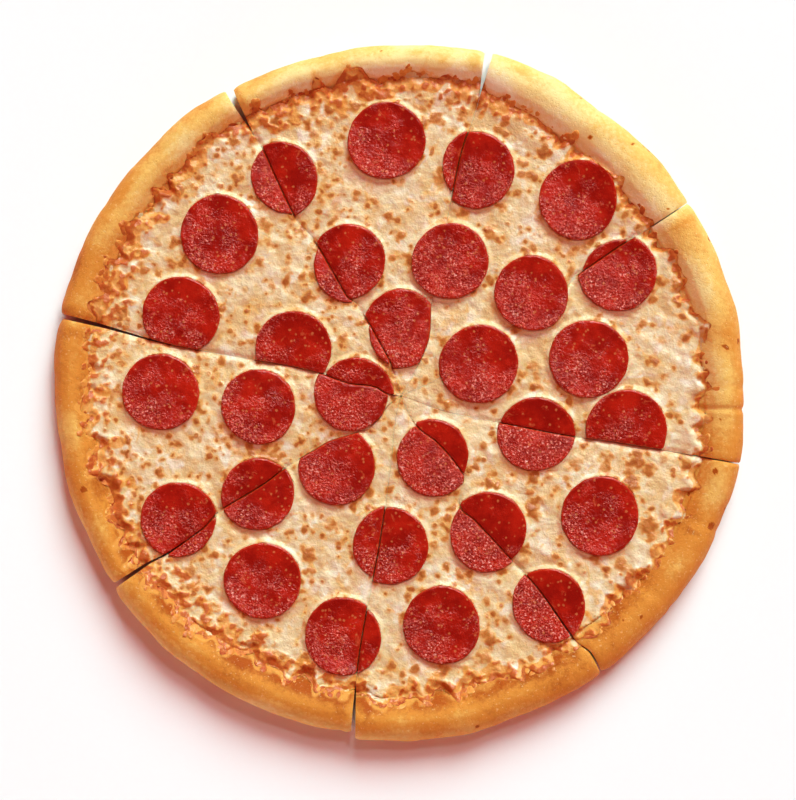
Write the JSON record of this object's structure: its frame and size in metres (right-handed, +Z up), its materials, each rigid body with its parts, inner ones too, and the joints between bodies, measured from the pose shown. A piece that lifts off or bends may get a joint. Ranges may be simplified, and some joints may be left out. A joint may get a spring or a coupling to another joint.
{
  "type": "sliced pepperoni pizza",
  "caption": "Round baked pizza with a raised crust, melted cheese and pepperoni, cut into slices that still lie together.",
  "frame": {"origin": "middle of the pizza's bounding box in plan, on the plane it lies on", "axes": "+Z up out of the cheese; +Y towards the top of the picture and +X to its right, seen from above"},
  "size_m": [0.3532, 0.3568, 0.0203],
  "materials": {
    "crust": "baked dough, matt, golden brown, paler along the cuts and underneath",
    "cheese": "melted cheese, creamy yellow with brown blisters, slightly oily",
    "pepperoni": "cured sausage, deep red with pale fat flecks, oily gloss"
  },
  "bodies": {
    "root": {"cheese_1": "cheese", "cheese_2": "cheese", "cheese_3": "cheese", "cheese_4": "cheese", "cheese_5": "cheese", "cheese_6": "cheese", "cheese_7": "cheese", "cheese_8": "cheese", "crust_1": "crust", "crust_2": "crust", "crust_3": "crust", "crust_4": "crust", "crust_5": "crust", "crust_6": "crust", "crust_7": "crust", "crust_8": "crust", "pepperoni_01": "pepperoni", "pepperoni_02a": "pepperoni", "pepperoni_02b": "pepperoni", "pepperoni_03a": "pepperoni", "pepperoni_03b": "pepperoni", "pepperoni_04": "pepperoni", "pepperoni_05": "pepperoni", "pepperoni_06a": "pepperoni", "pepperoni_06b": "pepperoni", "pepperoni_07": "pepperoni", "pepperoni_08a": "pepperoni", "pepperoni_08b": "pepperoni", "pepperoni_09": "pepperoni", "pepperoni_10": "pepperoni", "pepperoni_11": "pepperoni", "pepperoni_12a": "pepperoni", "pepperoni_12b": "pepperoni", "pepperoni_13": "pepperoni", "pepperoni_14": "pepperoni", "pepperoni_15": "pepperoni", "pepperoni_16": "pepperoni", "pepperoni_17a": "pepperoni", "pepperoni_17b": "pepperoni", "pepperoni_18": "pepperoni", "pepperoni_19a": "pepperoni", "pepperoni_19b": "pepperoni", "pepperoni_20a": "pepperoni", "pepperoni_20b": "pepperoni", "pepperoni_21": "pepperoni", "pepperoni_22a": "pepperoni", "pepperoni_22b": "pepperoni", "pepperoni_23a": "pepperoni", "pepperoni_23b": "pepperoni", "pepperoni_24": "pepperoni", "pepperoni_25a": "pepperoni", "pepperoni_25b": "pepperoni", "pepperoni_26a": "pepperoni", "pepperoni_26b": "pepperoni", "pepperoni_27": "pepperoni", "pepperoni_28a": "pepperoni", "pepperoni_28b": "pepperoni", "pepperoni_29": "pepperoni", "pepperoni_30a": "pepperoni", "pepperoni_30b": "pepperoni"}
  },
  "joints": []
}
